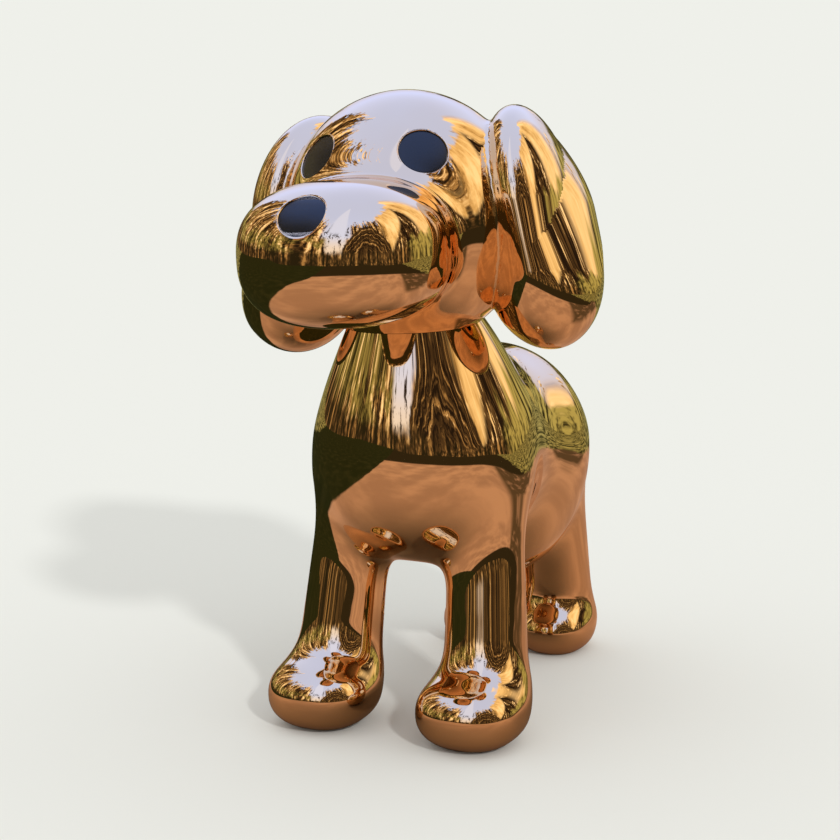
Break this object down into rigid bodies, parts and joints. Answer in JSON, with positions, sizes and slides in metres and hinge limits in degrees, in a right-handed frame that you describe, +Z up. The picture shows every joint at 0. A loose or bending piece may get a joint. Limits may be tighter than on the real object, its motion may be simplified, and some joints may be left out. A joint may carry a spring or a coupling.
{
  "type": "polished steel dog statue",
  "caption": "Standing puppy statue with a blunt muzzle, long hanging ears and dark round eyes and nose, in warm-toned mirror-polished steel.",
  "frame": {"origin": "on the ground under the middle of the outline", "axes": "+Z up; the dog looks along -Y and its left side is +X"},
  "size_m": [0.7042, 1.1334, 1.1992],
  "materials": {
    "mirror_steel": "mirror-polished stainless steel with a warm rose-gold tint",
    "dark_disc": "smooth satin blue-black"
  },
  "bodies": {
    "root": {"body": "mirror_steel", "head": "mirror_steel", "left_eye": "dark_disc", "right_eye": "dark_disc", "nose": "dark_disc"}
  },
  "joints": []
}
